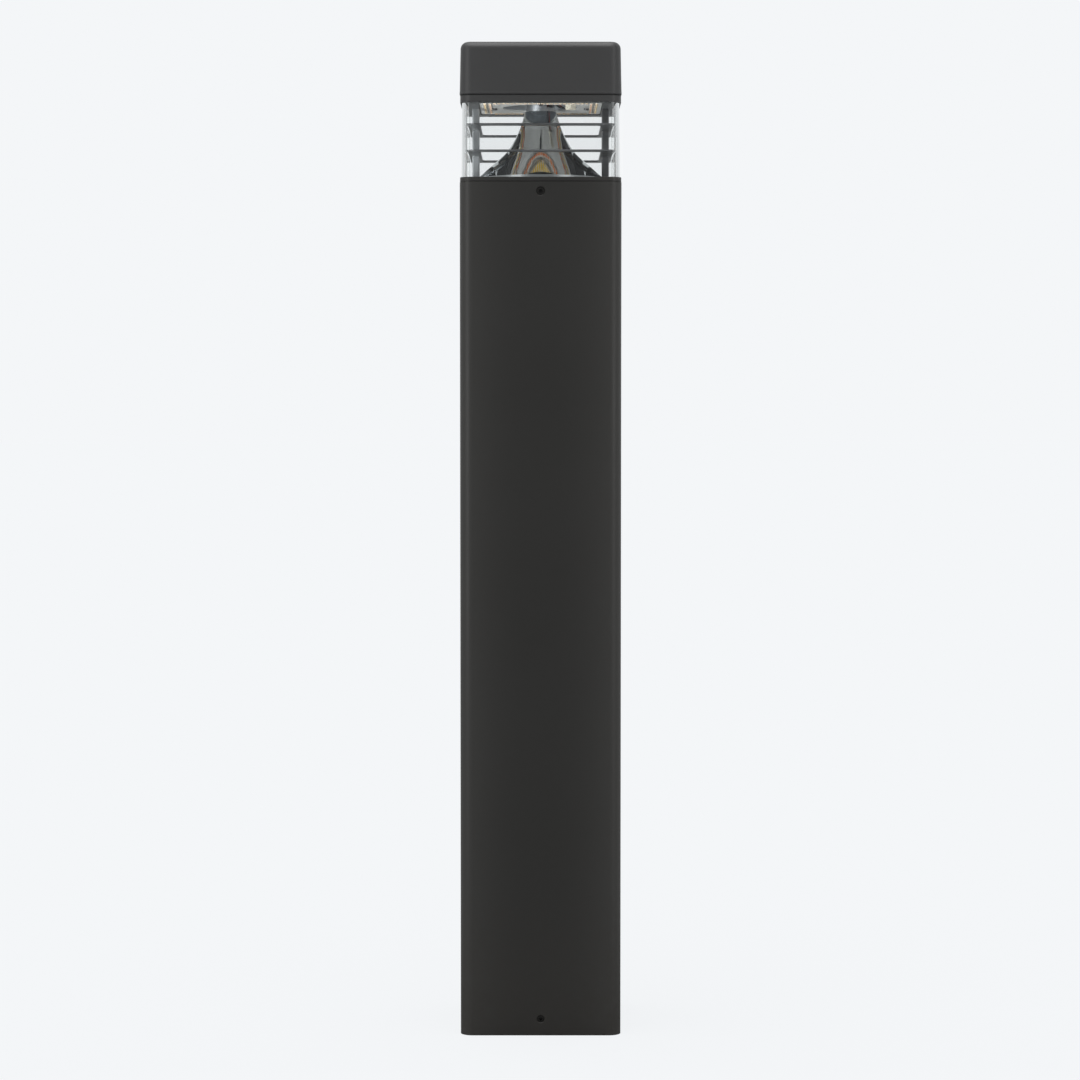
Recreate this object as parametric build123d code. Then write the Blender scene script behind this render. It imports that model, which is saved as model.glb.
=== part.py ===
from build123d import *
import math
import os

# Square bollard light with a louvred head, in millimetres, +Z up, front towards -Y.
# The origin is the centre of the foot of the shaft, on the ground.

# ---- overall ----
HEIGHT = 1067.0            # 42 in, ground to the top of the cap
HALF = 86.5                # half the outer width of the shaft
CORNER = 13.0              # plan radius of the shaft's corners
WALL = 3.5                 # shaft wall
SLIP = 0.4                 # gap between pieces that slide past each other
TIP_GAP = 0.3              # gap ahead of a set screw's point

# ---- levels ----
SHAFT_TOP = 918.3
COLLAR_TOP = 923.4
BAND_BOTTOM = 1002.9
BAND_TOP = 1009.8
CAP_BOTTOM = 1010.9

# ---- foot ----
PLATE_THICK = 12.0
CONDUIT_R = 38.0
ANCHOR_PCD = 114.3
ANCHOR_R = 5.5
LUG_WIDTH = 26.0
LUG_DEPTH = 9.0
LUG_TOP = 36.0

# ---- set screws in the shaft ----
BASE_SCREW_Z = 17.8
BASE_SCREW_R = 3.9
HEAD_SCREW_Z = 908.3
HEAD_SCREW_R = 4.5
SCREW_SINK = 0.9           # how far a set screw's face sits inside the shaft's face
HOLE_CHAMFER = 0.6
SCREW_TIP = 80.0           # distance of a set screw's point from the centre line

# ---- collar ----
COLLAR_HALF = 86.2
SHADOW_GAP = 0.9           # height of the recess between the shaft and the collar's rim
SPIGOT_HALF = HALF - WALL - SLIP
SPIGOT_WALL = 5.0
SPIGOT_BOTTOM = 893.3
DECK_THICK = 6.0
COLLAR_BORE_R = 20.0
SEAT_R = 63.5              # raised ring that centres the cone
SEAT_HIGH = 2.0

# ---- lens ----
LENS_HALF_BOTTOM = 84.7
LENS_HALF_TOP = 83.9
LENS_WALL = 3.0
LENS_CORNER = 11.5
LENS_BOTTOM = 921.4
LENS_TOP = 1004.3
GASKET = 1.0

# ---- louvre rings and their posts ----
RING_LEVELS = {"louver_ring_lower": 951.9, "louver_ring_upper": 979.9}
RING_HALF = 79.5
RING_INNER_HALF = 64.3
RING_CORNER = 9.0
RING_THICK = 1.6
POST_X = 70.6
POST_WIDE = 7.7
POST_DEEP = 16.0
POST_BOLT_LENGTH = 14.0    # of thread in the post's end

# ---- reflector cone ----
CONE_TOP_Z = 999.6
CONE_TOP_R = 17.0
CONE_NECK_BEND = 130.0     # radius of the hollow curve under the neck
CONE_WAIST_BEND = 55.0     # radius of the tighter curve that follows it
CONE_ANGLE_TOP = 13.5      # degrees from upright at the neck
CONE_ANGLE_WAIST = 30.0
CONE_ANGLE_FLANK = 48.5    # the straight flank's, down to the rim
CONE_SHEET = 1.0
RIM_R = 69.3
NOTCH_GAP = 0.5            # round the posts, where the rim is cut away for them

# ---- light engine ----
STEM_R = 15.3
STEM_BORE_R = 12.0
STEM_FLANGE_R = 21.0
POCKET_R = 41.4
POCKET_TOP = 1012.0
BOARD_HALF = 66.0
BOARD_BOTTOM = 1004.0
BOARD_THICK = 1.6
PAD_THICK = 0.5
LED_PITCH = 4.7
LED_COUNT = 22             # in each row on each side
LED_ROWS = {"leds_warm": 54.6, "leds_cool": 60.2}
LED_SIZE = (3.5, 2.8, 0.9)
CHIP_ROW = 57.4
CHIP_SIZE = (1.3, 1.0, 0.5)
BOARD_SCREW_R = 50.0
CONNECTOR_TURN = -47.0     # degrees, direction of the connector from the centre
CONNECTOR_R = 47.5
CONNECTOR_SIZE = (9.0, 8.0, 5.0)

# ---- housing and cap ----
HOUSING_HALF = 85.9
SINK_HALF = 64.0
SINK_TOP = 1016.0
FIN_TOP = 1046.0
FIN_COUNT = 11
FIN_THICK = 2.5
FIN_PITCH = 12.0
CAP_HALF_LIP = 86.7
CAP_HALF_BOTTOM = 86.4
CAP_HALF_TOP = 85.3
CAP_LIP = 3.4
CAP_LIP_ROUND = 1.3
CAP_FILLET = 7.5
CAP_WALL = 3.5
CAP_SCREW_AT = 72.0
CAP_BOSS_R = 6.0

# ---- gear that hangs under the collar, inside the shaft ----
BRACKET_HALF = 30.0
BRACKET_THICK = 2.0
BRACKET_BACK = 15.0        # front face of the bracket's back plate
BRACKET_FRONT = -24.0
BRACKET_BOTTOM = 632.0
DRIVER_HALF = 21.0
DRIVER_FRONT = -13.0
DRIVER_BOTTOM = 712.0
DRIVER_TOP = 842.0
EAR_HIGH = 10.0
TERMINAL_HALF = 19.0
TERMINAL_FRONT = -2.0
TERMINAL_BOTTOM = 644.0
TERMINAL_TOP = 662.0
LEAD_R = 0.9
LEAD_GAP = 2.0             # half the distance between a pair of leads


# ---------------------------------------------------------------- shared shapes

def plate(half, corner, bottom, top):
    """Square plate with rounded corners between two levels."""
    with BuildPart() as piece:
        with BuildSketch(Plane.XY.offset(bottom)):
            RectangleRounded(2 * half, 2 * half, corner)
        extrude(amount=top - bottom)
    return piece.part


def tapered(half_bottom, half_top, corner, bottom, top):
    """Square block with rounded corners whose sides lean in evenly."""
    lean = math.degrees(math.atan2(half_bottom - half_top, top - bottom))
    with BuildPart() as piece:
        with BuildSketch(Plane.XY.offset(bottom)):
            RectangleRounded(2 * half_bottom, 2 * half_bottom, corner)
        extrude(amount=top - bottom, taper=lean)
    return piece.part


def block(x0, x1, y0, y1, z0, z1):
    """Box between two corners."""
    middle = Location(((x0 + x1) / 2, (y0 + y1) / 2, (z0 + z1) / 2))
    return middle * Box(x1 - x0, y1 - y0, z1 - z0)


def rod(x, y, bottom, top, radius):
    """Upright cylinder."""
    return Location((x, y, (bottom + top) / 2)) * Cylinder(radius, top - bottom)


def frustum(x, y, bottom, top, radius_bottom, radius_top):
    """Upright cone with its tip cut off."""
    return Location((x, y, (bottom + top) / 2)) * Cone(radius_bottom, radius_top, top - bottom)


def pan_screw(length, shank_r, head_r, head_high):
    """Screw along Z: its head sits on z = 0 and its shank goes up, with a hexagon socket below."""
    dome = head_high * 0.35
    body = rod(0, 0, 0, length, shank_r)
    body += rod(0, 0, dome - head_high, 0, head_r)
    body += frustum(0, 0, -head_high, dome - head_high, head_r * 0.8, head_r)
    with BuildPart() as socket:
        with BuildSketch(Plane.XY.offset(-head_high)):
            RegularPolygon(head_r * 0.5, 6)
        extrude(amount=head_high * 0.6)
    return body - socket.part


def set_screw(radius):
    """Set screw along Z, its socket up: the point is at SCREW_TIP, the face just inside the wall."""
    face = HALF - SCREW_SINK
    edge = 0.6
    body = rod(0, 0, SCREW_TIP + edge, face - edge, radius)
    body += frustum(0, 0, SCREW_TIP, SCREW_TIP + edge, radius - edge, radius)
    body += frustum(0, 0, face - edge, face, radius, radius - edge)
    with BuildPart() as socket:
        with BuildSketch(Plane.XY.offset(face)):
            RegularPolygon(radius * 0.58, 6)
        extrude(amount=-3.0)
    return body - socket.part


def on_four_faces(piece, level):
    """Copies of a piece that lies along Z, pointing out of the four faces at one level."""
    out = Location((0, 0, level)) * Rotation(90, 0, 0) * piece
    return [Rotation(0, 0, 90 * quarter) * out for quarter in range(4)]


def lead(points, radius):
    """Round wire along a route of straight runs joined by arcs as large as the runs allow."""
    corners = [Vector(*point) for point in points]
    arcs = []
    for before, here, after in zip(corners, corners[1:], corners[2:]):
        turn = math.radians((here - before).get_angle(after - here))
        shorter = min((here - before).length, (after - here).length)
        arcs.append(0.45 * shorter / math.tan(turn / 2))
    print("lead arcs", [round(arc, 1) for arc in arcs])
    path = FilletPolyline(*corners, radius=arcs)
    with BuildPart() as wire:
        with BuildSketch(Plane(origin=path @ 0, z_dir=path % 0)):
            Circle(radius)
        sweep(path=path)
    return wire.part


# ---------------------------------------------------------------- foot and shaft

def anchor_base():
    """Cast foot that the shaft drops over: plate, conduit hole, four bolt slots and four lugs."""
    half = HALF - WALL - SLIP
    piece = plate(half, CORNER - WALL, 0, PLATE_THICK)
    lug_face = SCREW_TIP - TIP_GAP
    lug = block(-LUG_WIDTH / 2, LUG_WIDTH / 2, -lug_face, LUG_DEPTH - lug_face, PLATE_THICK, LUG_TOP)
    web = block(-2.5, 2.5, LUG_DEPTH - lug_face, 14 + LUG_DEPTH - lug_face, PLATE_THICK, LUG_TOP - 12)
    for quarter in range(4):
        piece += Rotation(0, 0, 90 * quarter) * (lug + web)
    piece -= rod(0, 0, 0, PLATE_THICK, CONDUIT_R)
    for quarter in range(4):
        piece -= Rotation(0, 0, 45 + 90 * quarter) * rod(ANCHOR_PCD / 2, 0, 0, PLATE_THICK, ANCHOR_R)
    return piece


def shaft():
    """Extruded square tube with tapped holes for the set screws, top and bottom."""
    piece = plate(HALF, CORNER, 0, SHAFT_TOP) - plate(HALF - WALL, CORNER - WALL, 0, SHAFT_TOP)
    for radius, level in ((BASE_SCREW_R, BASE_SCREW_Z), (HEAD_SCREW_R, HEAD_SCREW_Z)):
        hole = rod(0, 0, HALF - WALL - 1, HALF + 1, radius)
        hole += frustum(0, 0, HALF - HOLE_CHAMFER, HALF, radius, radius + HOLE_CHAMFER)
        for one in on_four_faces(hole, level):
            piece -= one
    return piece


# ---------------------------------------------------------------- collar and lens

def collar():
    """Casting that closes the shaft and carries the head: rim, deck, spigot, lens groove."""
    corner = CORNER - WALL - SLIP
    piece = plate(COLLAR_HALF, CORNER - 0.3, SHAFT_TOP + SHADOW_GAP, COLLAR_TOP)
    piece = fillet(piece.edges().group_by(Axis.Z)[-1], 0.4)
    piece += plate(COLLAR_HALF - 1.2, CORNER - 1.5, SHAFT_TOP, SHAFT_TOP + SHADOW_GAP)
    piece += plate(SPIGOT_HALF, corner, SPIGOT_BOTTOM, SHAFT_TOP)
    hollow = SPIGOT_HALF - SPIGOT_WALL
    piece -= plate(hollow, corner - SPIGOT_WALL + 2, SPIGOT_BOTTOM, SHAFT_TOP - DECK_THICK)
    seat = rod(0, 0, COLLAR_TOP, COLLAR_TOP + SEAT_HIGH, SEAT_R)
    piece += seat - rod(0, 0, COLLAR_TOP, COLLAR_TOP + SEAT_HIGH, SEAT_R - 3)
    piece -= rod(0, 0, SHAFT_TOP - DECK_THICK, COLLAR_TOP, COLLAR_BORE_R)
    groove_bottom = LENS_BOTTOM - GASKET
    groove = plate(LENS_HALF_BOTTOM + 0.3, LENS_CORNER + 0.3, groove_bottom, COLLAR_TOP)
    tongue_half = LENS_HALF_BOTTOM - LENS_WALL - 0.3
    groove -= plate(tongue_half, LENS_CORNER - LENS_WALL - 0.3, groove_bottom, COLLAR_TOP)
    piece -= groove
    slot_half = HEAD_SCREW_R + 0.6
    slot_floor = SCREW_TIP - TIP_GAP
    slot = block(-slot_half, slot_half, -SPIGOT_HALF, -slot_floor, SPIGOT_BOTTOM, HEAD_SCREW_Z + slot_half)
    for quarter in range(4):
        piece -= Rotation(0, 0, 90 * quarter) * slot
    for side in (-1, 1):
        piece -= rod(side * POST_X, 0, SHAFT_TOP - DECK_THICK, COLLAR_TOP, 2.0)
    for x, y in bracket_screw_places():
        piece -= rod(x, y, SHAFT_TOP - DECK_THICK, SHAFT_TOP + 1, 2.0)
    return piece


def frame_gasket(half, bottom, top):
    """Square rubber ring, as wide as the lens is thick."""
    outer = plate(half, LENS_CORNER, bottom, top)
    return outer - plate(half - LENS_WALL, LENS_CORNER - LENS_WALL, bottom, top)


def lens():
    """Clear moulded square tube with round corners, a little narrower at the top."""
    skin = tapered(LENS_HALF_BOTTOM, LENS_HALF_TOP, LENS_CORNER, LENS_BOTTOM, LENS_TOP)
    inner_corner = LENS_CORNER - LENS_WALL
    inner = (LENS_HALF_BOTTOM - LENS_WALL, LENS_HALF_TOP - LENS_WALL)
    return skin - tapered(inner[0], inner[1], inner_corner, LENS_BOTTOM, LENS_TOP)


# ---------------------------------------------------------------- inside the lens

def louver_ring(level):
    """Flat square ring that slides onto the two posts."""
    low = level - RING_THICK / 2
    high = level + RING_THICK / 2
    piece = plate(RING_HALF, RING_CORNER, low, high)
    piece -= plate(RING_INNER_HALF, RING_CORNER - 4, low, high)
    for side in (-1, 1):
        piece -= side_post(side)
    return piece


def side_post(side):
    """Flat bar that ties the collar to the housing and carries the rings."""
    x0 = side * POST_X - POST_WIDE / 2
    bar = block(x0, x0 + POST_WIDE, -POST_DEEP / 2, POST_DEEP / 2, COLLAR_TOP, BAND_BOTTOM)
    bar = fillet(bar.edges().filter_by(Axis.Z), 1.0)
    bar -= rod(side * POST_X, 0, COLLAR_TOP, COLLAR_TOP + POST_BOLT_LENGTH, 2.0)
    bar -= rod(side * POST_X, 0, BAND_BOTTOM - POST_BOLT_LENGTH, BAND_BOTTOM, 2.0)
    return bar


def post_bolts():
    """Screws into both ends of each post, through the deck and through the housing."""
    deck = SHAFT_TOP - DECK_THICK
    lower = pan_screw(COLLAR_TOP - deck + POST_BOLT_LENGTH, 2.0, 3.5, 2.8)
    upper = Rotation(180, 0, 0) * pan_screw(BAND_TOP - BAND_BOTTOM + POST_BOLT_LENGTH, 2.0, 3.5, 2.8)
    screws = []
    for side in (-1, 1):
        screws.append(Location((side * POST_X, 0, deck)) * lower)
        screws.append(Location((side * POST_X, 0, BAND_TOP)) * upper)
    return screws


def bend_centre(start, bend, angle):
    """Centre of a hollow curve that leaves this point of the outer skin at this lean."""
    lean = math.radians(angle)
    return (start[0] + bend * math.cos(lean), start[1] + bend * math.sin(lean))


def bend_points(centre, reach, first, last):
    """Start, middle and end of a hollow curve between two leans."""
    leans = [math.radians(angle) for angle in (first, (first + last) / 2, last)]
    return [(centre[0] - reach * math.cos(lean), centre[1] - reach * math.sin(lean)) for lean in leans]


def reflector_cone():
    """Spun sheet trumpet: two hollow curves, a straight flank and a rim notched for the posts."""
    neck_centre = bend_centre((CONE_TOP_R, CONE_TOP_Z), CONE_NECK_BEND, CONE_ANGLE_TOP)
    neck = bend_points(neck_centre, CONE_NECK_BEND, CONE_ANGLE_TOP, CONE_ANGLE_WAIST)
    waist_centre = bend_centre(neck[2], CONE_WAIST_BEND, CONE_ANGLE_WAIST)
    waist = bend_points(waist_centre, CONE_WAIST_BEND, CONE_ANGLE_WAIST, CONE_ANGLE_FLANK)
    neck_reach = CONE_NECK_BEND + CONE_SHEET
    waist_reach = CONE_WAIST_BEND + CONE_SHEET
    neck_inside = bend_points(neck_centre, neck_reach, CONE_ANGLE_TOP + 0.6, CONE_ANGLE_WAIST)
    waist_inside = bend_points(waist_centre, waist_reach, CONE_ANGLE_WAIST, CONE_ANGLE_FLANK)
    fall = 1 / math.tan(math.radians(CONE_ANGLE_FLANK))
    rim_top = waist[2][1] - (RIM_R - waist[2][0]) * fall
    lip_r = RIM_R - CONE_SHEET
    lip_top = waist_inside[2][1] - (lip_r - waist_inside[2][0]) * fall
    with BuildPart() as piece:
        with BuildSketch(Plane.XZ):
            with BuildLine():
                ThreePointArc(*neck)
                ThreePointArc(*waist)
                Polyline(
                    waist[2],
                    (RIM_R, rim_top),
                    (RIM_R, COLLAR_TOP),
                    (lip_r, COLLAR_TOP),
                    (lip_r, lip_top),
                    waist_inside[2],
                )
                ThreePointArc(*reversed(waist_inside))
                ThreePointArc(*reversed(neck_inside))
                Polyline(
                    neck_inside[0],
                    (STEM_BORE_R, neck_inside[0][1]),
                    (STEM_BORE_R, CONE_TOP_Z),
                    neck[0],
                )
            make_face()
        revolve(axis=Axis.Z)
    cone = piece.part
    reach = POST_DEEP / 2 + NOTCH_GAP
    inner = POST_X - POST_WIDE / 2 - NOTCH_GAP
    for x0, x1 in ((-RIM_R, -inner), (inner, RIM_R)):
        cone -= block(x0, x1, -reach, reach, COLLAR_TOP, CONE_TOP_Z)
    return cone


def stem_tube():
    """Spacer from the neck of the cone to the housing, with a flange and a slot for the leads."""
    piece = rod(0, 0, CONE_TOP_Z, POCKET_TOP, STEM_R)
    piece += rod(0, 0, POCKET_TOP - 2, POCKET_TOP, STEM_FLANGE_R)
    piece -= rod(0, 0, CONE_TOP_Z, POCKET_TOP, STEM_BORE_R)
    slot = block(0, STEM_FLANGE_R + 1, -4.0, 4.0, BOARD_BOTTOM, POCKET_TOP)
    piece -= Rotation(0, 0, CONNECTOR_TURN) * slot
    for x, y in stem_screw_places():
        piece -= rod(x, y, POCKET_TOP - 2, POCKET_TOP, 1.25)
    return piece


def stem_screw_places():
    turns = [CONNECTOR_TURN + 60, CONNECTOR_TURN + 180, CONNECTOR_TURN + 300]
    reach = (STEM_R + STEM_FLANGE_R) / 2
    return [(reach * math.cos(math.radians(t)), reach * math.sin(math.radians(t))) for t in turns]


def stem_screws():
    screw = pan_screw(5.0, 1.25, 2.2, 1.6)
    return [Location((x, y, POCKET_TOP - 2)) * screw for x, y in stem_screw_places()]


# ---------------------------------------------------------------- light engine

def board_screw_places():
    return [(BOARD_SCREW_R, 0), (0, BOARD_SCREW_R), (-BOARD_SCREW_R, 0), (0, -BOARD_SCREW_R)]


def led_board():
    """Square circuit board with a round opening."""
    top = BOARD_BOTTOM + BOARD_THICK
    piece = plate(BOARD_HALF, 2.0, BOARD_BOTTOM, top) - rod(0, 0, BOARD_BOTTOM, top, POCKET_R)
    for x, y in board_screw_places():
        piece -= rod(x, y, BOARD_BOTTOM, top, 1.5)
    return piece


def thermal_pad():
    """Soft sheet that carries the board's heat to the housing."""
    low = BOARD_BOTTOM + BOARD_THICK
    high = low + PAD_THICK
    piece = plate(BOARD_HALF, 2.0, low, high) - rod(0, 0, low, high, POCKET_R)
    for x, y in board_screw_places():
        piece -= rod(x, y, low, high, 1.5)
    return piece


def row_on_four_sides(size, distance, count, pitch):
    """Small blocks under the board, in one row along each side."""
    long, short, thick = size
    blocks = []
    for quarter in range(4):
        for index in range(count):
            x = (index - (count - 1) / 2) * pitch
            chip = block(
                x - long / 2, x + long / 2,
                -distance - short / 2, -distance + short / 2,
                BOARD_BOTTOM - thick, BOARD_BOTTOM,
            )
            blocks.append(Rotation(0, 0, 90 * quarter) * chip)
    return blocks


def board_screws():
    screw = pan_screw(BOARD_THICK + PAD_THICK + 5.0, 1.5, 2.75, 2.0)
    return [Location((x, y, BOARD_BOTTOM)) * screw for x, y in board_screw_places()]


def board_connector():
    """Two-way socket at the edge of the board's opening, its wire side towards the centre."""
    long, wide, high = CONNECTOR_SIZE
    x0 = CONNECTOR_R - long / 2
    piece = block(x0, x0 + long, -wide / 2, wide / 2, BOARD_BOTTOM - high, BOARD_BOTTOM)
    piece = fillet(piece.edges().filter_by(Axis.Z), 0.6)
    middle = BOARD_BOTTOM - high / 2
    for side in (-1, 1):
        bore = Location((x0 + 1.5, side * LEAD_GAP, middle), (0, 90, 0)) * Cylinder(LEAD_R, 3.0)
        piece -= bore
    piece -= block(x0 + 3, x0 + 7, -1.2, 1.2, BOARD_BOTTOM - high, BOARD_BOTTOM - high + 1)
    return Rotation(0, 0, CONNECTOR_TURN) * piece


def led_lead(side):
    """Lead from the connector up into the pocket, through the stem and down to the driver."""
    start = CONNECTOR_R - CONNECTOR_SIZE[0] / 2 + 3.0
    low = BOARD_BOTTOM - CONNECTOR_SIZE[2] / 2
    high = POCKET_TOP - 4.0
    y = side * LEAD_GAP
    route = [
        (start, y, low),
        (34.0, y, low),
        (24.0, y, high),
        (5.0, y, high),
        (5.0, y, high - 22),
        (2.0, y, 950.0),
        (6.0, y, 895.0),
        (4.0, y, DRIVER_TOP + 16),
        (4.0, y, DRIVER_TOP),
    ]
    return Rotation(0, 0, CONNECTOR_TURN) * lead(route, LEAD_R)


# ---------------------------------------------------------------- housing and cap

def cap_screw_places():
    return [(x, y) for x in (-CAP_SCREW_AT, CAP_SCREW_AT) for y in (-CAP_SCREW_AT, CAP_SCREW_AT)]


def led_housing():
    """Casting under the cap: band, recess for the board, pocket for the stem, fins on top."""
    pad_top = BOARD_BOTTOM + BOARD_THICK + PAD_THICK
    piece = plate(HOUSING_HALF, CORNER - 0.3, BAND_BOTTOM, BAND_TOP)
    piece += plate(SINK_HALF, 6.0, BAND_TOP, SINK_TOP)
    for index in range(FIN_COUNT):
        x = (index - (FIN_COUNT - 1) / 2) * FIN_PITCH
        reach = SINK_HALF - 4
        piece += block(x - FIN_THICK / 2, x + FIN_THICK / 2, -reach, reach, SINK_TOP, FIN_TOP)
    piece -= plate(BOARD_HALF + 0.5, 2.5, BAND_BOTTOM, pad_top)
    piece -= rod(0, 0, pad_top, POCKET_TOP, POCKET_R)
    groove_top = LENS_TOP + GASKET
    groove = plate(LENS_HALF_TOP + 0.5, LENS_CORNER + 0.3, BAND_BOTTOM, groove_top)
    groove -= plate(LENS_HALF_TOP - LENS_WALL - 0.5, LENS_CORNER - LENS_WALL - 0.3, BAND_BOTTOM, groove_top)
    piece -= groove
    for x, y in cap_screw_places():
        piece -= rod(x, y, BAND_BOTTOM, BAND_TOP, 2.0)
        piece -= rod(x, y, BAND_BOTTOM, BAND_BOTTOM + 3, 3.8)
    for side in (-1, 1):
        piece -= rod(side * POST_X, 0, BAND_BOTTOM, BAND_TOP, 2.0)
    for x, y in board_screw_places():
        piece -= rod(x, y, pad_top, pad_top + 5, 1.5)
    for x, y in stem_screw_places():
        piece -= rod(x, y, POCKET_TOP, POCKET_TOP + 3, 1.25)
    return piece


def top_cap():
    """Hollow cast cap with leaning sides, a rounded top edge, a small lip and four bosses."""
    roof = HEIGHT - CAP_WALL
    piece = tapered(CAP_HALF_BOTTOM, CAP_HALF_TOP, CORNER, CAP_BOTTOM + CAP_LIP_ROUND, HEIGHT)
    piece = fillet(piece.faces().sort_by(Axis.Z)[-1].edges(), CAP_FILLET)
    lip = tapered(CAP_HALF_LIP, CAP_HALF_BOTTOM, CORNER + 0.3, CAP_BOTTOM, CAP_BOTTOM + CAP_LIP)
    piece += fillet(lip.edges().group_by(Axis.Z)[0], CAP_LIP_ROUND)
    inside = tapered(CAP_HALF_BOTTOM - CAP_WALL, CAP_HALF_TOP - CAP_WALL, CORNER - CAP_WALL, CAP_BOTTOM, roof)
    inside = fillet(inside.faces().sort_by(Axis.Z)[-1].edges(), CAP_FILLET - CAP_WALL)
    piece -= inside
    for x, y in cap_screw_places():
        piece += rod(x, y, BAND_TOP, roof + 1, CAP_BOSS_R)
        piece -= rod(x, y, BAND_TOP, BAND_TOP + 16, 2.0)
    return piece


def cap_screws():
    seat = BAND_BOTTOM + 3
    screw = pan_screw(BAND_TOP + 16 - seat, 2.0, 3.5, 2.6)
    return [Location((x, y, seat)) * screw for x, y in cap_screw_places()]


# ---------------------------------------------------------------- gear inside the shaft

def bracket_screw_places():
    return [(x, y) for x in (-24.0, 24.0) for y in (-18.0, 9.0)]


def driver_screw_levels():
    return (DRIVER_BOTTOM - EAR_HIGH / 2, DRIVER_TOP + EAR_HIGH / 2)


def driver_bracket():
    """Folded sheet that hangs from the collar's deck and carries the electrical gear."""
    deck = SHAFT_TOP - DECK_THICK
    back = BRACKET_BACK + BRACKET_THICK
    piece = block(-BRACKET_HALF, BRACKET_HALF, BRACKET_FRONT, back, deck - BRACKET_THICK, deck)
    piece += block(-BRACKET_HALF, BRACKET_HALF, BRACKET_BACK, back, BRACKET_BOTTOM, deck)
    piece -= rod(0, -4, deck - BRACKET_THICK, deck, 14.0)
    for x, y in bracket_screw_places():
        piece -= rod(x, y, deck - BRACKET_THICK, deck, 2.0)
    for level in driver_screw_levels():
        piece -= Location((0, (BRACKET_BACK + back) / 2, level), (90, 0, 0)) * Cylinder(1.5, BRACKET_THICK)
    earth = Location((24, (BRACKET_BACK + back) / 2, 680), (90, 0, 0)) * Cylinder(2.0, BRACKET_THICK)
    return piece - earth


def bracket_screws():
    deck = SHAFT_TOP - DECK_THICK
    screw = pan_screw(BRACKET_THICK + DECK_THICK + 1, 2.0, 3.5, 2.6)
    return [Location((x, y, deck - BRACKET_THICK)) * screw for x, y in bracket_screw_places()]


def wire_grommet():
    """Rubber bush that lines the collar's bore."""
    deck = SHAFT_TOP - DECK_THICK
    piece = rod(0, 0, deck, COLLAR_TOP, COLLAR_BORE_R)
    piece += rod(0, 0, COLLAR_TOP, COLLAR_TOP + 1.5, COLLAR_BORE_R + 3)
    return piece - rod(0, 0, deck, COLLAR_TOP + 1.5, COLLAR_BORE_R - 7)


def driver():
    """Constant-current supply in a folded case with an ear at each end."""
    case = block(-DRIVER_HALF, DRIVER_HALF, DRIVER_FRONT, BRACKET_BACK, DRIVER_BOTTOM, DRIVER_TOP)
    case = fillet(case.edges().filter_by(Axis.Z), 2.0)
    case += block(-9, 9, BRACKET_BACK - 1.5, BRACKET_BACK, DRIVER_BOTTOM - EAR_HIGH, DRIVER_TOP + EAR_HIGH)
    for level in driver_screw_levels():
        case -= Location((0, BRACKET_BACK - 0.75, level), (90, 0, 0)) * Cylinder(1.5, 1.5)
    return case


def level_screw(x, y, z, length, shank_r, head_r, head_high):
    """Screw that goes in along +Y, its head in front."""
    return Location((x, y, z)) * Rotation(-90, 0, 0) * pan_screw(length, shank_r, head_r, head_high)


def driver_screws():
    seat = BRACKET_BACK - 1.5
    return [level_screw(0, seat, level, 5.0, 1.5, 2.75, 2.0) for level in driver_screw_levels()]


def terminal_block():
    """Three-pole block where the supply is joined."""
    pitch = 2 * TERMINAL_HALF / 3
    piece = block(
        -TERMINAL_HALF, TERMINAL_HALF, TERMINAL_FRONT, BRACKET_BACK, TERMINAL_BOTTOM, TERMINAL_TOP
    )
    middle = (TERMINAL_BOTTOM + TERMINAL_TOP) / 2
    for pole in (-1, 0, 1):
        x = pole * pitch
        piece -= Location((x, TERMINAL_FRONT + 3, middle), (90, 0, 0)) * Cylinder(3.0, 6.0)
        piece -= rod(x, 8.0, TERMINAL_BOTTOM, TERMINAL_BOTTOM + 6, 2.0)
        piece -= rod(x, 8.0, TERMINAL_TOP - 6, TERMINAL_TOP, LEAD_R)
    for gap in (-0.5, 0.5):
        x = gap * pitch
        piece -= block(x - 0.6, x + 0.6, TERMINAL_FRONT, TERMINAL_FRONT + 5, TERMINAL_BOTTOM, TERMINAL_TOP)
    return piece


def terminal_screws():
    """Clamping screws at the bottom of the block's three wells."""
    pitch = 2 * TERMINAL_HALF / 3
    middle = (TERMINAL_BOTTOM + TERMINAL_TOP) / 2
    screw = Rotation(-90, 0, 0) * (rod(0, 0, -2, 0, 2.6) - block(-2.6, 2.6, -0.4, 0.4, -2, -1.2))
    return [Location((pole * pitch, TERMINAL_FRONT + 6, middle)) * screw for pole in (-1, 0, 1)]


def supply_lead(pole):
    """Lead from the bottom of the driver to one pole of the terminal block."""
    pitch = 2 * TERMINAL_HALF / 3
    x = pole * pitch
    route = [
        (x * 0.5, 2.0, DRIVER_BOTTOM),
        (x * 0.5, 2.0, DRIVER_BOTTOM - 12),
        (x * 0.7, 0.0, DRIVER_BOTTOM - 26),
        (x, 8.0, TERMINAL_TOP + 8),
        (x, 8.0, TERMINAL_TOP - 6),
    ]
    return lead(route, LEAD_R)


def surge_protector():
    """Potted module on the back of the bracket."""
    back = BRACKET_BACK + BRACKET_THICK
    piece = block(-17, 17, back, back + 20, 730, 775)
    return fillet(piece.edges().filter_by(Axis.Y), 2.5)


def ground_screw():
    """Earthing screw in the bracket."""
    return level_screw(24, BRACKET_BACK, 680, 8.0, 2.0, 4.0, 2.6)


# ---------------------------------------------------------------- hand over

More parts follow.
